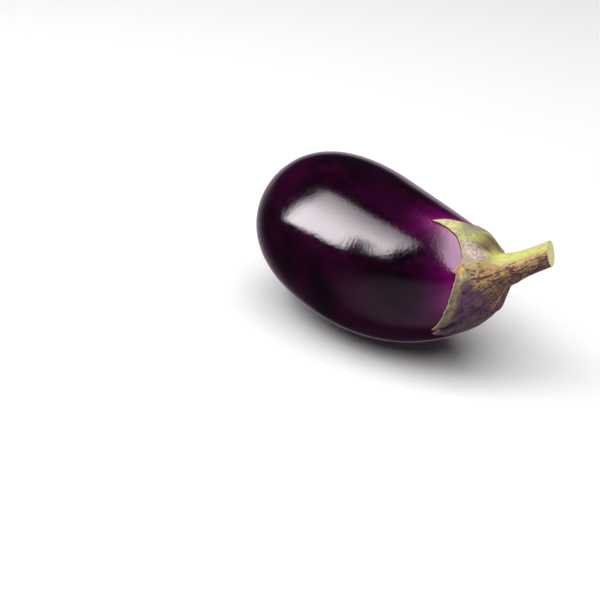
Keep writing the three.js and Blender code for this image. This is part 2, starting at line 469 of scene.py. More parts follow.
def tooth_share(flat):
    """1 on the tooth, below the step that the upper lobe makes over it, and 0 elsewhere."""
    off, share = beside(flat, TOOTH_STEP)
    inward = smooth(share, 0.0, 0.15) * smooth(share, 1.0, 0.6)
    return smooth(-off, 0, TOOTH_DROP_WIDTH) * inward * smooth(-off, TOOTH_REACH, TOOTH_REACH * 0.6)


def calyx_relief(flat):
    """Height of the calyx's folds, bulges and fine ribs over its plain skin."""
    total = -TOOTH_DROP * tooth_share(flat)
    for fold in FOLDS:
        off, share = beside(flat, fold["line"])
        total = total + fold["height"] * np.exp(-((off / fold["width"]) ** 2)) * smooth(share, -0.1, 0.35)
    reach, angle = polar(flat)
    ribs = 0
    for stretch, size, height, seed in CALYX_RIBS:
        ribs = ribs + soft_noise(grain_of(angle, reach * stretch), size, seed) * height
    return (total + ribs) * smooth(reach, NECK_REACH, NECK_REACH + 3)


def calyx_swell(angle):
    """1 along the middle of a lobe and 0 in a sinus."""
    stops = []
    for lobe in LOBES:
        turn, reach = lobe["sinus"]
        stops += [(turn, 0.0 if reach < NICK_REACH else 1.0), (lobe["tip"][0], lobe["swell"])]
    turns, shares = np.array(sorted(stops), float).T
    around = np.concatenate([turns - 360, turns, turns + 360])
    linear = np.interp(np.degrees(angle) % 360, around, np.tile(shares, 3))
    return smooth(linear, 0, 1)


def neck_at(angle):
    """(station, radius) of the neck, where the calyx meets the stem, and its slope. It is slimmer above."""
    radius = NECK_RADIUS - NECK_LEAN * smooth(np.cos(angle - NECK_LEAN_SIDE), -0.3, 1)
    steep = NECK_SLOPE_SHARE * (radius - STEM_END_RADIUS) / STEM_FLARE_LENGTH
    one = np.ones_like(radius)
    return np.stack([one * (FRUIT_LENGTH + NECK_RISE), radius], -1), np.stack([one, -steep], -1)


def plain_skin(angle, reach, thickness):
    """(station, radius) of the calyx's outer face without its folds, flaring up into the neck."""
    shoulder = SINUS_SHOULDER + (SHOULDER_REACH - SINUS_SHOULDER) * calyx_swell(angle)
    on_fruit = over_skin(np.maximum(reach, shoulder), CALYX_GAP + thickness)
    foot = over_skin(shoulder, CALYX_GAP + thickness)
    neck, slope = neck_at(angle)
    gap = np.linalg.norm(neck - foot, axis=-1)[..., None]
    t = np.clip((shoulder - reach) / (shoulder - NECK_REACH), 0, 1)
    beneath = smooth(-np.cos(angle - SUNNY_SIDE), 0.2, 0.9)
    fullness = FLARE_AT_SHOULDER + (FLARE_BENEATH - FLARE_AT_SHOULDER) * beneath
    low_handle = foot + along(OUTLINE_WAY, shoulder) * gap * fullness[..., None]
    high_handle = neck - slope * gap * FLARE_AT_NECK
    flare = bezier((foot, low_handle, high_handle, neck), t)
    return np.where(t[..., None] > 0, flare, on_fruit)


def calyx_skin(flat, edge):
    """(station, radius) of the calyx's lining and of its outer face."""
    reach, angle = polar(flat)
    rounded = np.sqrt(1 - (1 - np.clip(edge / EDGE_ROUND, 0, 1)) ** 2)
    thickness = CALYX_EDGE + (RIM_THICKNESS - CALYX_EDGE) * rounded
    thickness = thickness + (CALYX_SKIN - RIM_THICKNESS) * smooth(edge, 0, THICKEN_OVER)
    uneven = soft_noise(grain_of(angle, reach), RIM_LIFT_SIZE, SEEDS["rim_lift"])
    lift = RIM_LIFT * np.exp(-edge / RIM_LIFT_WIDTH) * (1 - RIM_LIFT_VARIES + RIM_LIFT_VARIES * uneven)
    relief = calyx_relief(flat) * smooth(edge, 0, RELIEF_FADE)
    relief = np.maximum(relief, THINNEST - thickness)
    skin = plain_skin(angle, reach, thickness)
    ahead = plain_skin(angle, reach + SLOPE_STEP, thickness)
    ahead = ahead - plain_skin(angle, reach - SLOPE_STEP, thickness)
    out = np.stack([ahead[:, 1], -ahead[:, 0]], -1) / np.linalg.norm(ahead, axis=1)[:, None]
    return over_skin(reach, CALYX_GAP + lift), skin + out * (relief + lift)[:, None]


def calyx_tones(flat, edge):
    """How much of each colour the calyx carries, from 0 to 1."""
    reach, angle = polar(flat)
    turn = np.degrees(angle) % 360
    spike = smooth(reach, *SPIKE_REACH) * between(turn, *SPIKE_TURN)
    strip = smooth(edge, *STRIP_EDGE) * between(turn, *STRIP_TURN)
    ridge, _ = beside(flat, LOW_RIDGE)
    strip = np.maximum(strip, np.exp(-((ridge / RIDGE_STRIP_WIDTH) ** 2)))
    strip = np.maximum(strip, smooth(edge, *FAR_STRIP_EDGE) * smooth(turn, *FAR_STRIP_TURN))
    # The furrow between the lower lobe's two tips, where painted shade goes
    hollow, _ = beside(flat, TIP_HOLLOW[1:])
    tones = {"pale": np.maximum(spike, smooth(edge, *PALE_EDGE) * PALE_EDGE_SHARE),
             "tan": smooth(reach, *TAN_REACH), "strip": strip}
    for name, patch in PATCHES.items():
        off, _ = beside(flat, patch["line"])
        tones[name] = np.exp(-((off / patch["width"]) ** 2))
    return {**tones, "tooth": tooth_share(flat), "hollow": np.exp(-((hollow / HOLLOW_WIDTH) ** 4))}


def calyx_points():
    """Flat points of the calyx: its rim, then the ring at its neck, then a grid between them."""
    size = RIM_REACH.max() + CALYX_STEP
    ring = flat_pattern(angles(NECK_COLUMNS), NECK_REACH)
    rows = np.arange(-size, size, CALYX_STEP * math.sqrt(3) / 2)
    columns = np.arange(-size, size, CALYX_STEP)
    grid = np.array([(x + (i % 2) * CALYX_STEP / 2, y) for i, y in enumerate(rows) for x in columns])
    off_neck = np.linalg.norm(grid, axis=1) > NECK_REACH + CALYX_STEP * CLEAR_OF_NECK
    grid = grid[off_neck & inside(grid, RIM_FLAT)]
    tree = tree_of(in_space(RIM_FLAT))
    near = np.array([tree.find(Vector(p))[2] for p in in_space(grid)])
    return np.vstack([RIM_FLAT, ring, grid[near > CALYX_STEP * CLEAR_OF_RIM]])


def calyx_triangles(flat):
    """Triangles between the calyx's rim and its neck, all facing out."""
    rim_count = len(RIM_FLAT)
    loops = [(i, (i + 1) % rim_count) for i in range(rim_count)]
    loops += [(rim_count + i, rim_count + (i + 1) % NECK_COLUMNS) for i in range(NECK_COLUMNS)]
    made = geometry.delaunay_2d_cdt([Vector(p) for p in flat], loops, [], 0, WELD)
    if len(made[0]) != len(flat):
        raise RuntimeError("the calyx's flat pattern has points that touch")
    triangles = np.array(made[2])
    centres = flat[triangles].mean(1)
    ring = flat[rim_count:rim_count + NECK_COLUMNS]
    triangles = triangles[inside(centres, RIM_FLAT) & ~inside(centres, ring)]
    a, b, c = (flat[triangles[:, k]] for k in (0, 1, 2))
    inward = np.cross(b - a, c - a) <= 0
    triangles[inward] = triangles[inward][:, ::-1]
    return triangles


def build_calyx():
    """The calyx: its outer face, its lining, and the walls at the rim and at the neck."""
    flat = calyx_points()
    triangles = calyx_triangles(flat)
    reach, angle = polar(flat)
    count, rim_count = len(flat), len(RIM_FLAT)
    bare = over_skin(reach, np.full(count, CALYX_GAP))
    edge = rim_distance(place(bare[:, 0], bare[:, 1], angle))
    edge[:rim_count] = 0
    lining, skin = calyx_skin(flat, edge)
    points = np.vstack([place(skin[:, 0], skin[:, 1], angle), place(lining[:, 0], lining[:, 1], angle)])
    faces = triangles.tolist() + (triangles[:, ::-1] + count).tolist()
    for i in range(rim_count):
        j = (i + 1) % rim_count
        faces.append((j, i, i + count, j + count))
    for i in range(NECK_COLUMNS):
        p, q = rim_count + i, rim_count + (i + 1) % NECK_COLUMNS
        faces.append((p, q, q + count, p + count))
    values = {"edge": edge, "side": angle, "reach": reach, "grain": grain_of(angle, reach)}
    values.update(calyx_tones(flat, edge))
    doubled = {key: np.concatenate([value, value]) for key, value in values.items()}
    return make_mesh("calyx_skin", points, faces, doubled, [range(rim_count, rim_count + NECK_COLUMNS)])


def grain_of(angle, distance):
    """Pattern coordinates that run lengthwise: round the stem in x and y, and along it in z."""
    angle, distance = np.broadcast_arrays(angle, distance)
    return np.stack([GRAIN_RADIUS * np.cos(angle), GRAIN_RADIUS * np.sin(angle), distance], -1)


# ---------------------------------------------------------------- fruit and stem


def build_fruit():
    """The fruit: rows round the bent centreline, with the scar, faint swells and the flat spot."""
    rows = fruit_rows()
    p = over_skin(rows, np.zeros(len(rows)))
    blossom = p[:, 0] < BELLY_STATION
    p[:, 0] += np.where(blossom, SCAR_DEPTH * np.exp(-((p[:, 1] / SCAR_RADIUS) ** 2)), 0)
    angle = angles(FRUIT_COLUMNS)
    station, radius = p[1:-1, :1] + 0 * angle, p[1:-1, 1:] + 0 * angle
    points = place(station, radius, angle[None] + 0 * station).reshape(-1, 3)
    ends = place(p[[0, -1], 0], np.zeros(2), np.zeros(2))
    points = np.vstack([points, ends])
    reach = np.concatenate([np.repeat(rows[1:-1], FRUIT_COLUMNS), rows[[0, -1]]])
    out = points - np.array(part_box("fruit")).mean(0)
    out = out / np.linalg.norm(out, axis=1)[:, None]
    swells = UNDULATION * soft_noise(points / MM, UNDULATION_SIZE, SEEDS["undulation"])
    swells = swells + UNDULATION / 3 * soft_noise(points / MM, RIPPLE_SIZE, SEEDS["ripple"])
    points = points - out * (np.abs(swells) * MM)[:, None]
    points[:, 2] = np.maximum(points[:, 2], 0)
    count = len(rows) - 2
    faces = tube_faces(count, FRUIT_COLUMNS)
    last = count * FRUIT_COLUMNS
    faces += cap_faces(last, np.arange(FRUIT_COLUMNS), True)
    faces += cap_faces(last + 1, last - FRUIT_COLUMNS + np.arange(FRUIT_COLUMNS), False)
    side = np.concatenate([np.tile(angle, count), [0, 0]])
    edge = rim_distance(points)
    # Magenta by the rim is the skin's own colour, made stronger on the lit side as painted light
    lit = smooth(np.cos(side - GLOW_SIDE), -0.2, 0.7)
    glow = np.exp(-edge / GLOW_REACH) * (GLOW_LEAST + (1 - GLOW_LEAST) * lit)
    scar = smooth(reach, OUTLINE_LENGTH - SCAR_RADIUS, OUTLINE_LENGTH - SCAR_RADIUS / 2)
    values = {"edge": edge, "glow": glow, "scar": scar, "grain": grain_of(side, reach)}
    return make_mesh("fruit_skin", points, faces, values)


def build_stem():
    """The stem: spigot, flared foot, ribbed side, and the dished cut, in rings from foot to cut."""
    start, end = FRUIT_LENGTH + NECK_RISE, FRUIT_LENGTH + STEM_LENGTH
    spigot_end = FRUIT_LENGTH + SPIGOT_FOOT
    angle = angles(NECK_COLUMNS)
    share = np.linspace(0, 1, STEM_ROWS)[:, None]
    run = share * (end - start)
    flare = neck_at(angle)[0][:, 1] - STEM_END_RADIUS
    radius = STEM_END_RADIUS + flare * np.exp(-run / STEM_FLARE_LENGTH)
    lengthwise = grain_of(angle[None], NECK_REACH - run * STEM_RIBS_STRETCH)
    ribs = soft_noise(lengthwise, STEM_RIBS_SIZE, SEEDS["stem_ribs"])
    radius = radius - STEM_RIBS * np.abs(ribs) * smooth(share, 0, STEM_RIBS_START)
    slant = math.tan(math.radians(CUT_SLANT)) * np.cos(angle - math.radians(CUT_SIDE))
    side = place(start + run - slant * radius * share, radius, angle[None] + 0 * run)
    foot = place(np.full(NECK_COLUMNS, spigot_end), np.full(NECK_COLUMNS, SPIGOT_RADIUS), angle)
    cut = [place(end - slant * radius[-1] * inset - CUT_DISH * (1 - inset), radius[-1] * inset, angle)
           for inset in CUT_INSETS]
    rings = [foot, *side, *cut]
    ends = place(np.array([spigot_end, end - CUT_DISH]), np.zeros(2), np.zeros(2))
    points = np.vstack([np.array(rings).reshape(-1, 3), ends])
    rows = len(rings)
    column = np.arange(NECK_COLUMNS)
    faces = tube_faces(rows, NECK_COLUMNS)
    faces += cap_faces(rows * NECK_COLUMNS, column, True)
    faces += cap_faces(rows * NECK_COLUMNS + 1, (rows - 1) * NECK_COLUMNS + column, False)
    runs = np.concatenate([[0], run[:, 0], np.full(len(CUT_INSETS), end - start)])
    reach = NECK_REACH - np.concatenate([np.repeat(runs, NECK_COLUMNS), [0, end - start]])
    sides = np.concatenate([np.tile(angle, rows), [0, 0]])
    shares = np.concatenate([np.ones(STEM_ROWS + 1), CUT_INSETS])
    none = np.zeros(len(points))
    values = {"edge": none + FAR_FROM_RIM, "grain": grain_of(sides, reach), "side": sides, "reach": reach,
              "tan": none + 1, **{name: none for name in ("pale", "strip", *PATCHES, "tooth", "hollow")},
              "cut": np.concatenate([np.repeat(shares < 1, NECK_COLUMNS), [0, 1]]),
              "core": np.concatenate([np.repeat(shares, NECK_COLUMNS), [1, 0]])}
    last = STEM_ROWS * NECK_COLUMNS
    return make_mesh("stem_bark", points, faces, values,
                     [range(NECK_COLUMNS, 2 * NECK_COLUMNS), range(last, last + NECK_COLUMNS)])


fruit = build_fruit()
calyx = build_calyx()
stem = build_stem()
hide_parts("fruit")
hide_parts("calyx")
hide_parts("stem")

# ---------------------------------------------------------------- materials


class Nodes:
    """Short helpers to build the nodes of a material or a light."""

    def __init__(self, owner):
        owner.use_nodes = True
        self.owner = owner
        self.tree = owner.node_tree
        self.shader = self.tree.nodes.get("Principled BSDF")

    def new(self, kind, **settings):
        node = self.tree.nodes.new(kind)
        for key, value in settings.items():
            setattr(node, key, value)
        return node

    def link(self, source, target):
        self.tree.links.new(source, target)

    def feed(self, socket, value):
        if isinstance(value, bpy.types.NodeSocket):
            self.link(value, socket)
        else:
            socket.default_value = value

    def attribute(self, name, vector=False):
        node = self.new("ShaderNodeAttribute", attribute_name=name)
        return node.outputs["Vector" if vector else "Fac"]

    def math(self, operation, a, b=0.0):
        node = self.new("ShaderNodeMath", operation=operation)
        self.feed(node.inputs[0], a)
        self.feed(node.inputs[1], b)
        return node.outputs[0]

    def plus(self, a, b):
        return self.math("ADD", a, b)

    def times(self, a, b):
        return self.math("MULTIPLY", a, b)

    def swing(self, value, reach):
        """A noise moved to lie round 0, and spread."""
        return self.times(self.math("SUBTRACT", value, 0.5), reach)

    def scaled(self, vector, scale):
        node = self.new("ShaderNodeVectorMath", operation="MULTIPLY")
        self.feed(node.inputs[0], vector)
        node.inputs[1].default_value = scale
        return node.outputs[0]

    def noise(self, vector, scale, detail=3.0, roughness=0.5):
        node = self.new("ShaderNodeTexNoise")
        self.feed(node.inputs["Vector"], vector)
        node.inputs["Scale"].default_value = scale
        node.inputs["Detail"].default_value = detail
        node.inputs["Roughness"].default_value = roughness
        return node.outputs["Fac"]

    def band(self, value, low, high, start=0.0, end=1.0):
        """Smooth step of a value from start to end between low and high."""
        node = self.new("ShaderNodeMapRange", interpolation_type="SMOOTHSTEP")
        self.feed(node.inputs["Value"], value)
        for name, number in (("From Min", low), ("From Max", high), ("To Min", start), ("To Max", end)):
            node.inputs[name].default_value = number
        return node.outputs["Result"]

    def blend(self, share, a, b):
        """Number between a and b."""
        node = self.new("ShaderNodeMix", data_type="FLOAT")
        self.feed(node.inputs[0], share)
        self.feed(node.inputs[2], a)
        self.feed(node.inputs[3], b)
        return node.outputs[0]

    def mix(self, share, a, b):
        """Colour between a and b."""
        node = self.new("ShaderNodeMix", data_type="RGBA")
        self.feed(node.inputs[0], share)
        self.feed(node.inputs[6], a)
        self.feed(node.inputs[7], b)
        return node.outputs[2]

    def bump(self, height, strength, distance):
        node = self.new("ShaderNodeBump")
        node.inputs["Strength"].default_value = strength
        node.inputs["Distance"].default_value = distance
        self.link(height, node.inputs["Height"])
        self.link(node.outputs[0], self.shader.inputs["Normal"])


def rgb(code):
    """Linear colour of a hexadecimal sRGB code."""
    values = [int(code[i:i + 2], 16) / 255 for i in (0, 2, 4)]
    return (*[v / 12.92 if v <= 0.04045 else ((v + 0.055) / 1.055) ** 2.4 for v in values], 1.0)


# Colours of the skins
SKIN_BLACK = rgb("0e000b")
SKIN_PURPLE = rgb("26001d")
SKIN_STREAK = rgb("360029")
SKIN_GLOW = rgb("46003a")
SKIN_MAGENTA = rgb("6e0c58")
# Painted contact shadow on the skin along the calyx's rim
RIM_CONTACT_SHADOW = rgb("38080c")
CORK = rgb("5c4632")
CORK_DARK = rgb("2c1a1c")
LEAF_GREEN = rgb("a3a466")
LEAF_GREY = rgb("9d9378")
LEAF_LIME = rgb("b6c468")
# Pale lilac and mauve of the painted highlight on the upper lobe's bulge
LILAC_HIGHLIGHT = rgb("d6c3bb")
MAUVE_HIGHLIGHT = rgb("c2a99c")
DUSK_PURPLE = rgb("200c26")
DUSK_VIOLET = rgb("4d3250")
DUSK_STROKE = rgb("5c4254")
DUSK_OLIVE = rgb("63502e")
STRIP_OLIVE = rgb("6f6236")
STRIP_PALE = rgb("aaa062")
STRIP_BROWN_SHADED = rgb("4e3c36")
SPOT_PURPLE = rgb("6a4a66")
BARK_TAN = rgb("c0a066")
BARK_BROWN = rgb("a07c4c")
BARK_LIME = rgb("c6cf68")
BARK_YELLOW = rgb("beb46e")
BARK_SHADED_BENEATH = rgb("7c5a46")
BARK_MARK = rgb("42243d")
# Umber of the painted shade behind the upper lobe, and its dark spots
SHADE_UMBER_GREEN = rgb("5e5226")
SHADE_UMBER_BROWN = rgb("6a4e38")
UMBER_SPOT = rgb("4a3038")
CREAM = rgb("c9c688")
CREAM_DULL = rgb("aca268")
TOOTH_ORANGE = rgb("b98a4c")
TOOTH_YELLOW = rgb("c9ad62")
TOOTH_RUST = rgb("8a5434")
# Painted shade in the furrow between the lower lobe's two tips
HOLLOW_SHADE = rgb("1e0a20")
CUT_CREAM = rgb("f2f0ac")
CUT_RING = rgb("ccd084")
CUT_PITH = rgb("f4ecb0")
CUT_RIM = rgb("eef07e")

# Noises of the skins, by scale: the larger the number, the finer the grain
SKIN_CLOUDS = 30
SKIN_RIPPLES = 170
SKIN_GLOSS = 260
SKIN_DIMPLES = 650
LEAF_BLOTCHES = 110
LEAF_DUSK = 230
LEAF_MEDIUM = 480
LEAF_STIPPLE = 1500
CORK_GRAIN = 900
CORK_PATCHES = 500
CORK_BUMPS = 700
CUT_WOBBLE = 700
# How fine the marks are round the stem and along it: on the stem first, then on the calyx
DASHES = ((0.55, 0.42), (1.4, 0.7))
STROKES = ((0.6, 0.16), (1.2, 0.16))

CUT_RINGS = 26.0
SKIN_IOR = 1.65
SKIN_ROUGHNESS = (0.06, 0.12)
SKIN_BUMP = 0.00006
GROWTH_SPECULAR = 0.35
GROWTH_ROUGHNESS = (0.48, 0.68)
GROWTH_BUMP = 0.0003


def shaded(name):
    """Nodes of a new material."""
    return Nodes(bpy.data.materials.new(name))


def fruit_material():
    """Smooth glossy skin, almost black, magenta beside the calyx, brighter on the lit side as painted light.
    """
    n = shaded("fruit_skin")
    edge, glow, scar = n.attribute("edge"), n.attribute("glow"), n.attribute("scar")
    grain = n.attribute("grain", True)
    place_now = n.new("ShaderNodeTexCoord").outputs["Object"]
    streaks = n.noise(n.scaled(grain, (1.0, 1.0, 0.12)), 0.45, 4)
    clouds = n.noise(place_now, SKIN_CLOUDS)
    color = n.mix(n.band(clouds, 0.38, 0.68), SKIN_BLACK, SKIN_PURPLE)
    color = n.mix(n.band(streaks, 0.5, 0.8, 0, 0.5), color, SKIN_STREAK)
    # Magenta by the calyx: the skin's own colour there, brightened on the lit side as painted light
    heat = n.times(glow, n.band(streaks, 0.25, 0.7, 0.9, 1.1))
    color = n.mix(n.band(heat, 0.10, 0.60), color, SKIN_GLOW)
    color = n.mix(n.band(heat, 0.45, 1.0), color, SKIN_MAGENTA)
    # Painted contact shadow: a dark red-brown line on the skin along the calyx's rim
    color = n.mix(n.band(edge, 0.25, 0.8, 0.85, 0), color, RIM_CONTACT_SHADOW)
    cork = n.mix(n.band(n.noise(place_now, CORK_GRAIN), 0.4, 0.6), CORK, CORK_DARK)
    color = n.mix(n.times(scar, n.band(n.noise(place_now, CORK_PATCHES), 0.3, 0.5)), color, cork)
    n.feed(n.shader.inputs["Base Color"], color)
    gloss = n.band(n.noise(place_now, SKIN_GLOSS, 2), 0.3, 0.7, *SKIN_ROUGHNESS)
    n.feed(n.shader.inputs["Roughness"], n.plus(gloss, n.times(scar, 0.5)))
    n.shader.inputs["IOR"].default_value = SKIN_IOR
    # Ripples run lengthwise over the body. They would fan out beside the calyx, so they are even there
    lengthwise = n.noise(n.scaled(grain, (0.45, 0.45, 1.0)), 0.9, 4, 0.6)
    ripples = n.blend(n.band(edge, 4, 40), n.noise(place_now, SKIN_RIPPLES, 4, 0.6), lengthwise)
    dimples = n.noise(place_now, SKIN_DIMPLES, 3, 0.6)
    height = n.plus(n.times(ripples, 0.7), dimples)
    n.bump(n.plus(height, n.times(scar, n.noise(place_now, CORK_BUMPS, 2))), 1.0, SKIN_BUMP)
    return n.owner


def growth_material(name):
    """Mottled skin of the calyx and the stem, one pattern for both so that it runs on across the neck."""
    n = shaded(name)
    edge, reach, side = n.attribute("edge"), n.attribute("reach"), n.attribute("side")
    tan_share, pale, strip = n.attribute("tan"), n.attribute("pale"), n.attribute("strip")
    lilac_highlight, lime, shade = n.attribute("lilac_highlight"), n.attribute("lime"), n.attribute("shade")
    tooth, hollow = n.attribute("tooth"), n.attribute("hollow")
    grain = n.attribute("grain", True)
    place_now = n.new("ShaderNodeTexCoord").outputs["Object"]
    # 1 on the upper side, -1 beneath
    up = n.math("COSINE", n.math("SUBTRACT", side, SUNNY_SIDE))
    blotch = n.noise(place_now, LEAF_BLOTCHES, 3, 0.55)
    stipple = n.noise(place_now, LEAF_STIPPLE, 2, 0.6)
    medium = n.noise(place_now, LEAF_MEDIUM, 3, 0.6)
    on_leaf = n.band(reach, 7.0, 15.0)
    dashes = n.blend(on_leaf, *(n.noise(n.scaled(grain, (k, k, run)), 1.0, 4, 0.64) for k, run in DASHES))
    strokes = n.blend(on_leaf, *(n.noise(n.scaled(grain, (k, k, run)), 0.6, 3, 0.6) for k, run in STROKES))

    # The leafy part: green above, dusky violet beneath (partly painted shade), with patches and spots
    sunny = n.mix(n.band(blotch, 0.40, 0.60), LEAF_GREEN, LEAF_GREY)
    dusky = n.mix(n.band(n.noise(place_now, LEAF_DUSK, 3, 0.6), 0.42, 0.60), DUSK_PURPLE, DUSK_VIOLET)
    dusky = n.mix(n.band(strokes, 0.48, 0.62, 0, 0.5), dusky, DUSK_STROKE)
    olive_spots = n.plus(blotch, n.times(medium, 0.25))
    dusky = n.mix(n.band(olive_spots, 0.66, 0.76, 0, 0.9), dusky, DUSK_OLIVE)
    # Green above and dark violet beneath follow the up side: partly the calyx's own colours, partly painted
    # light and shade
    leaf = n.mix(n.band(up, -0.05, 0.65), dusky, sunny)
    leaf = n.mix(n.times(lime, 0.85), leaf, LEAF_LIME)
    # Painted highlight: pale lilac on the lit bulge of the upper lobe, over the calyx's own lilac tint
    leaf = n.mix(lilac_highlight, leaf, n.mix(n.band(medium, 0.35, 0.6), LILAC_HIGHLIGHT, MAUVE_HIGHLIGHT))
    olive = n.mix(n.band(medium, 0.42, 0.60), STRIP_OLIVE, STRIP_PALE)
    # Browner beneath: partly the strip's own colour, partly painted shade
    olive = n.mix(n.band(up, -0.2, -0.8), olive, STRIP_BROWN_SHADED)
    leaf = n.mix(n.times(strip, n.band(blotch, 0.3, 0.55, 1, 0.55)), leaf, olive)
    spots = n.plus(stipple, n.swing(medium, 0.5))
    leaf = n.mix(n.band(spots, 0.46, 0.60, 0, 0.6), leaf, SPOT_PURPLE)

    # The bark towards the stem: tan, yellow-green above and darker beneath, partly its own colours and partly
    # painted light and shade, with dark marks that are rarer above
    bark = n.mix(n.band(medium, 0.35, 0.65), BARK_TAN, BARK_BROWN)
    bark = n.mix(n.band(up, 0.40, 0.80), bark, n.mix(n.band(dashes, 0.42, 0.60), BARK_LIME, BARK_YELLOW))
    # Darker beneath: partly the bark's own brown, partly painted shade
    bark = n.mix(n.band(up, 0.2, -0.7, 0, 0.8), bark, BARK_SHADED_BENEATH)
    fewer = n.plus(n.band(up, 0.15, 0.75, 0, -0.12), n.band(up, 0.25, -0.4, 0, 0.035))
    marks = n.math("MAXIMUM", dashes, n.math("SUBTRACT", strokes, 0.04))
    bark = n.mix(n.band(n.plus(marks, fewer), 0.515, 0.555, 0, 0.92), bark, BARK_MARK)
    ragged = n.plus(n.plus(tan_share, n.swing(dashes, 2.2)), n.swing(medium, 1.2))
    # Bark is kept off the painted lilac highlight
    ragged = n.math("SUBTRACT", ragged, n.times(lilac_highlight, 0.7))
    color = n.mix(n.band(ragged, 0.40, 0.58), leaf, bark)

    # On top: painted shade, umber with dark spots, in the hollow behind the upper lobe, cream at the rim,
    # orange on the tooth
    umber_shade = n.mix(n.band(medium, 0.4, 0.6), SHADE_UMBER_GREEN, SHADE_UMBER_BROWN)
    umber_shade = n.mix(n.band(n.plus(stipple, medium), 1.02, 1.10), umber_shade, UMBER_SPOT)
    color = n.mix(n.times(shade, n.band(blotch, 0.25, 0.5, 0.7, 0.95)), color, umber_shade)
    color = n.mix(pale, color, n.mix(n.band(medium, 0.4, 0.65), CREAM, CREAM_DULL))
    orange = n.mix(n.band(edge, 0.8, 2.2), TOOTH_ORANGE, TOOTH_YELLOW)
    orange = n.mix(n.band(stipple, 0.55, 0.65), orange, TOOTH_RUST)
    near_rim = n.times(tooth, n.band(edge, 5.0, 2.0, 0.35, 1))
    color = n.mix(n.times(near_rim, n.band(medium, 0.3, 0.5, 0.4, 1)), color, orange)
    # Painted shade: dark purple down in the furrow between the lobe's two tips
    color = n.mix(n.times(hollow, n.band(edge, 0.3, 0.9)), color, HOLLOW_SHADE)
    n.feed(n.shader.inputs["Base Color"], color)
    n.feed(n.shader.inputs["Roughness"], n.band(medium, 0.3, 0.7, *GROWTH_ROUGHNESS))
    n.shader.inputs["Specular IOR Level"].default_value = GROWTH_SPECULAR
    n.bump(n.plus(n.times(stipple, 0.25), n.plus(dashes, medium)), 0.6, GROWTH_BUMP)
    return n


def calyx_material():
    return growth_material("calyx_skin").owner


def stem_material():
    """The growth's skin, with pale rings on the cut face."""
    n = growth_material("stem_bark")
    cut, core = n.attribute("cut"), n.attribute("core")
    place_now = n.new("ShaderNodeTexCoord").outputs["Object"]
    wobble = n.times(n.noise(place_now, CUT_WOBBLE), 7.0)
    rings = n.math("SINE", n.plus(n.times(core, CUT_RINGS), wobble))
    wood = n.mix(n.band(rings, -0.6, 0.9, 0, 0.5), CUT_CREAM, CUT_RING)
    wood = n.mix(n.band(core, 0.12, 0.4, 1, 0), wood, CUT_PITH)
    wood = n.mix(n.band(core, 0.85, 0.96), wood, CUT_RIM)
    bark = n.shader.inputs["Base Color"].links[0].from_socket
    n.feed(n.shader.inputs["Base Color"], n.mix(cut, bark, wood))
    return n.owner


fruit.data.materials.append(fruit_material())
calyx.data.materials.append(calyx_material())
stem.data.materials.append(stem_material())

# ---------------------------------------------------------------- floor, lights and camera

# Camera, placed so that the fruit's outline matches the photo's. Angles in degrees, lengths in metres
CAMERA_LENS = 85
CAMERA_SENSOR = 36
CAMERA_AZIMUTH = 47.56
CAMERA_ELEVATION = 30.38
CAMERA_DISTANCE = 0.76
CAMERA_TARGET = (-0.0543, -0.0126, -0.0006)
CAMERA_ROLL = 0.48

FLOOR_HALF = 6.0
FLOOR_TONE = 0.9
FLOOR_ROUGHNESS = 0.9

# World: dark but for a pale belt low down, away from the dark side, and a haze that the skin mirrors
WORLD_DARK = 0.025
WORLD_PALE = 0.6
WORLD_TINT = (1.0, 0.78, 0.96, 1)
DARK_SIDE = -25
BELT_FACING = (0.6, 0.0)
BELT_TOP = (0.12, -0.08)
BELT_FOOT = (-0.8, -0.45)
HAZE_LEVEL = 0.25
HAZE_FROM = (36, -28)
HAZE_SPREAD = (0.5, 0.85)
HAZE_TOP = (0.38, 0.12)

# Lights. Outlines and flags are in metres: (x, y, softness of the side that starts there), clockwise
# and convex. Each flag is how much it shades, and its outline
LIGHT_TARGET = (0, 0, 0.04)
WINDOW = {
    "azimuth": -30, "elevation": 42, "distance": 0.9, "radiance": 11.5, "tint": (1.0, 0.93, 0.97),
    "outline": ((-0.47, -0.575, 0.08), (-0.44, 0.36, 0.20), (-0.31, 0.50, 0.24), (0.065, 0.66, 0.16),
                (0.23, 0.465, 0.08), (0.28, 0.30, 0.05), (0.312, 0.13, 0.05), (0.33, -0.08, 0.05),
                (0.19, -0.25, 0.05), (-0.34, -0.53, 0.06)),
    "flags": (
        (1.0, ((0.15, -0.40, 0.02), (0.125, 0.13, 0.02), (0.19, 0.08, 0.02), (0.30, -0.09, 0.02),
               (0.33, -0.30, 0.02))),
        (1.0, ((-0.60, -0.62, 0.03), (-0.60, 0.42, 0.03), (-0.42, 0.30, 0.16), (-0.315, 0.11, 0.16),
               (-0.325, -0.09, 0.14), (-0.355, -0.33, 0.08), (-0.445, -0.59, 0.05))),
        (0.75, ((-0.70, 0.0, 0.1), (-0.70, 1.0, 0.1), (0.50, 1.0, 0.1), (0.50, 0.41, 0.75))),
    ),
}
SKYLIGHT = {
    "azimuth": 60, "elevation": 72, "distance": 0.9, "radiance": 6.0, "tint": (1.0, 0.78, 0.93),
    "outline": ((-0.16, -0.58, 0.12), (-0.19, -0.25, 0.22), (-0.12, 0.05, 0.3), (0.02, 0.32, 0.34),
                (0.22, 0.64, 0.34), (0.48, 1.02, 0.3), (0.75, 1.02, 0.1), (0.55, 0.20, 0.1),
                (0.15, -0.54, 0.1)),
}
KEY_FILL = {"azimuth": -50, "elevation": 50, "distance": 1.1, "size": (0.7, 0.7), "radiance": 3.8}
TOP_FILL = {"azimuth": 60, "elevation": 80, "distance": 1.3, "size": (1.8, 1.8), "radiance": 2.5}


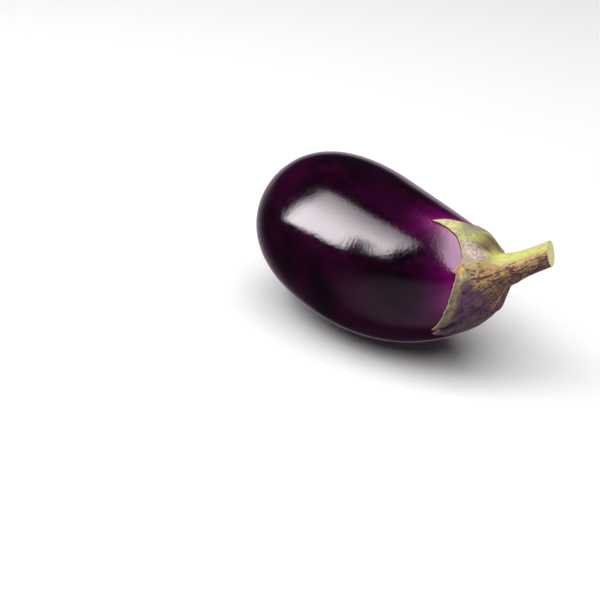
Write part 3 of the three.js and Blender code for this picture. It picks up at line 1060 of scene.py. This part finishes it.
def direction(azimuth, elevation):
    """Unit vector towards an azimuth (0 is -Y, 90 is +X) and an elevation, in degrees."""
    a, e = math.radians(azimuth), math.radians(elevation)
    return Vector((math.sin(a) * math.cos(e), -math.cos(a) * math.cos(e), math.sin(e)))


def aim(obj, target):
    """Turn an object so that its -Z looks at the target."""
    obj.rotation_euler = (Vector(target) - obj.location).to_track_quat("-Z", "Y").to_euler()


def add_floor():
    """Pale floor that the object stands on. The skin does not mirror it."""
    mesh = bpy.data.meshes.new("floor")
    corners = [(x * FLOOR_HALF, y * FLOOR_HALF, 0) for x, y in ((-1, -1), (1, -1), (1, 1), (-1, 1))]
    mesh.from_pydata(corners, [], [(0, 1, 2, 3)])
    floor = bpy.data.objects.new("floor", mesh)
    bpy.context.scene.collection.objects.link(floor)
    floor.visible_glossy = False
    n = shaded("floor")
    n.shader.inputs["Base Color"].default_value = (FLOOR_TONE, FLOOR_TONE, FLOOR_TONE, 1)
    n.shader.inputs["Roughness"].default_value = FLOOR_ROUGHNESS
    floor.data.materials.append(n.owner)


def inside_mask(n, x, y, outline):
    """1 inside a convex outline, falling to 0 at its sides as softly as each side says."""
    mask = None
    for a, b in zip(outline, (*outline[1:], outline[0])):
        length = math.hypot(b[0] - a[0], b[1] - a[1])
        across = ((b[1] - a[1]) / length, -(b[0] - a[0]) / length)
        off = n.plus(n.times(x, across[0]), n.times(y, across[1]))
        off = n.math("SUBTRACT", off, a[0] * across[0] + a[1] * across[1])
        side = n.band(off, -a[2] / 2, a[2] / 2)
        mask = side if mask is None else n.times(mask, side)
    return mask


def aim_light(name, azimuth, elevation, distance, size, radiance):
    """Rectangular area light that faces the object."""
    light = bpy.data.lights.new(name, "AREA")
    light.shape = "RECTANGLE"
    light.size, light.size_y = size
    light.energy = radiance * size[0] * size[1] * math.pi
    obj = bpy.data.objects.new(name, light)
    bpy.context.scene.collection.objects.link(obj)
    target = Vector(LIGHT_TARGET)
    obj.location = target + direction(azimuth, elevation) * distance
    aim(obj, target)
    obj.visible_camera = False
    return obj


def add_fill(name, azimuth, elevation, distance, size, radiance):
    """Soft light for the colours, not mirrored in the skin."""
    aim_light(name, azimuth, elevation, distance, size, radiance).visible_glossy = False


def add_highlight(name, azimuth, elevation, distance, radiance, tint, outline, flags=()):
    """Light mirrored in the skin, masked to an outline; flags shade parts of it."""
    margin = max(c[2] for c in outline) / 2
    low = [min(c[k] for c in outline) - margin for k in (0, 1)]
    size = [max(c[k] for c in outline) + margin - low[k] for k in (0, 1)]
    obj = aim_light(name, azimuth, elevation, distance, size, radiance)
    obj.data.color = tint
    n = Nodes(obj.data)
    across = n.new("ShaderNodeSeparateXYZ")
    n.link(n.new("ShaderNodeNewGeometry").outputs["Parametric"], across.inputs[0])
    x, y = (n.plus(n.times(across.outputs[k], size[k]), low[k]) for k in (0, 1))
    mask = inside_mask(n, x, y, outline)
    for depth, flag in flags:
        shade = n.times(inside_mask(n, x, y, flag), depth)
        mask = n.times(mask, n.math("SUBTRACT", 1.0, shade))
    n.link(mask, n.tree.nodes["Emission"].inputs["Strength"])
    turned = obj.rotation_euler.to_matrix()
    obj.location += turned @ Vector((low[0] + size[0] / 2, low[1] + size[1] / 2, 0))
    obj.visible_diffuse = False


def add_camera():
    data = bpy.data.cameras.new("camera")
    data.lens = CAMERA_LENS
    data.sensor_width = CAMERA_SENSOR
    camera = bpy.data.objects.new("camera", data)
    away = direction(CAMERA_AZIMUTH, CAMERA_ELEVATION) * CAMERA_DISTANCE
    camera.location = Vector(CAMERA_TARGET) + away
    bpy.context.scene.collection.objects.link(camera)
    aim(camera, CAMERA_TARGET)
    roll = Matrix.Rotation(math.radians(CAMERA_ROLL), 3, "Z")
    camera.rotation_euler = (camera.rotation_euler.to_matrix() @ roll).to_euler()
    bpy.context.scene.camera = camera


def set_world():
    """What the skin mirrors beside the lights: the pale belt and the haze, over a dark room."""
    world = bpy.data.worlds.new("studio")
    n = Nodes(world)
    way = n.new("ShaderNodeTexCoord").outputs["Generated"]
    parts = n.new("ShaderNodeSeparateXYZ")
    n.link(way, parts.inputs[0])
    east, north, up = parts.outputs
    dark = direction(DARK_SIDE, 0)
    facing = n.plus(n.times(east, dark.x), n.times(north, dark.y))
    belt = n.times(n.band(up, *BELT_TOP), n.band(up, *BELT_FOOT))
    belt = n.times(belt, n.band(facing, *BELT_FACING))
    near = n.new("ShaderNodeVectorMath", operation="DOT_PRODUCT")
    n.link(way, near.inputs[0])
    near.inputs[1].default_value = direction(*HAZE_FROM)
    haze = n.times(n.band(near.outputs["Value"], *HAZE_SPREAD), n.band(up, *HAZE_TOP))
    strength = n.plus(n.times(belt, WORLD_PALE - WORLD_DARK), n.times(haze, HAZE_LEVEL))
    background = n.tree.nodes["Background"]
    background.inputs["Color"].default_value = WORLD_TINT
    n.link(n.plus(strength, WORLD_DARK), background.inputs["Strength"])
    bpy.context.scene.world = world


add_floor()
add_highlight("window", **WINDOW)
add_highlight("skylight", **SKYLIGHT)
add_fill("key_fill", **KEY_FILL)
add_fill("top_fill", **TOP_FILL)
set_world()
add_camera()
bpy.context.scene.view_settings.view_transform = "Standard"
